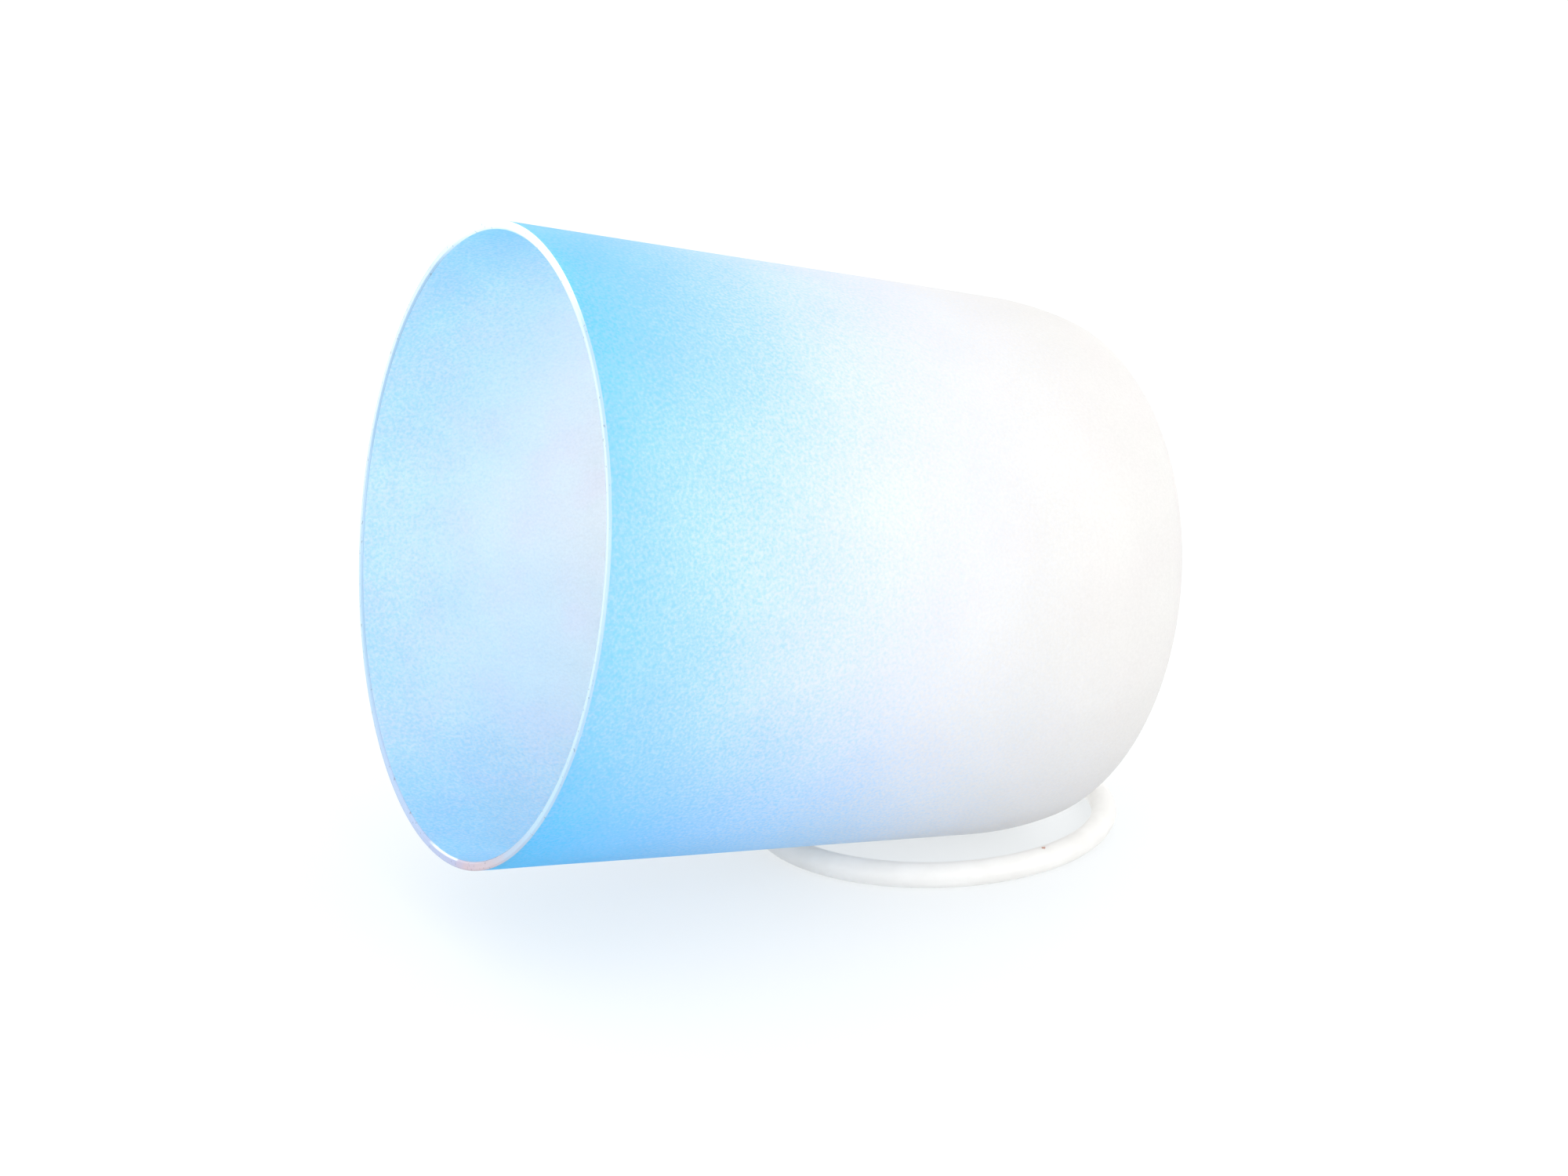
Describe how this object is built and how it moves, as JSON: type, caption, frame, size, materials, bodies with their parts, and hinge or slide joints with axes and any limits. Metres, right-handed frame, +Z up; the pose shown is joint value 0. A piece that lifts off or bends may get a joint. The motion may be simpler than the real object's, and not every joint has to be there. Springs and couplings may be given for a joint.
{
  "type": "crystal singing bowl",
  "caption": "Tapered frosted quartz singing bowl with a sky-blue fade from its ground rim, lying on its side and propped on a translucent rubber support ring.",
  "frame": {"origin": "on the floor that the ring lies on, under the middle of the whole object's box", "axes": "+X along the lying bowl's heading, from its mouth to its closed end; +Z up; the XZ plane is the mirror plane of both pieces"},
  "size_m": [0.2537, 0.2, 0.2214],
  "materials": {
    "frosted_quartz": "satin",
    "clear_silicone": "satin"
  },
  "bodies": {
    "ring": {"support_ring": "clear_silicone"},
    "bowl": {"crystal_bowl": "frosted_quartz"}
  },
  "joints": [
    {"name": "bowl_lift", "type": "slide", "parent": "ring", "child": "bowl", "axis": [0, 0, 1], "range_m": [0, 0.25]}
  ]
}
